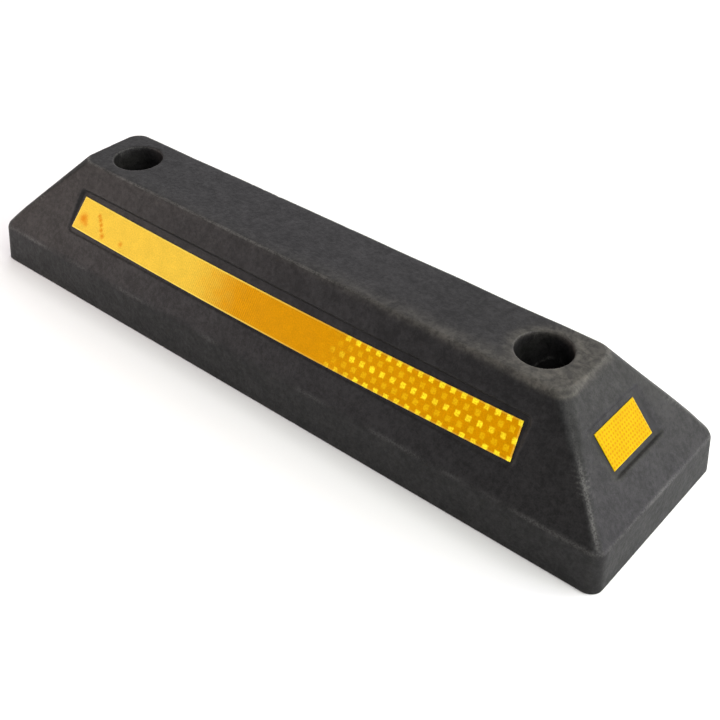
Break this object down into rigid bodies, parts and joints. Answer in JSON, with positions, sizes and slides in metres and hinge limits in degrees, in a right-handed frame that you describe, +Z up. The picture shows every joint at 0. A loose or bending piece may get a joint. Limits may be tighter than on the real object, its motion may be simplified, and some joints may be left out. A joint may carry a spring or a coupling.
{
  "type": "parking wheel stop",
  "caption": "Moulded rubber parking wheel stop: low plinth, sloping faces, flat top with counterbored bolt holes, and reflective tape in recesses.",
  "frame": {"origin": "middle of the underside, on the ground", "axes": "+X along the stop, +Y across it, +Z up"},
  "size_m": [0.55, 0.146, 0.092],
  "materials": {
    "black_rubber": "matte moulded, lightly scuffed",
    "yellow_reflective_tape": "glossy prismatic reflective film"
  },
  "bodies": {
    "root": {"rubber_body": "black_rubber", "front_tape": "yellow_reflective_tape", "back_tape": "yellow_reflective_tape", "right_end_tape": "yellow_reflective_tape", "left_end_tape": "yellow_reflective_tape"}
  },
  "joints": []
}
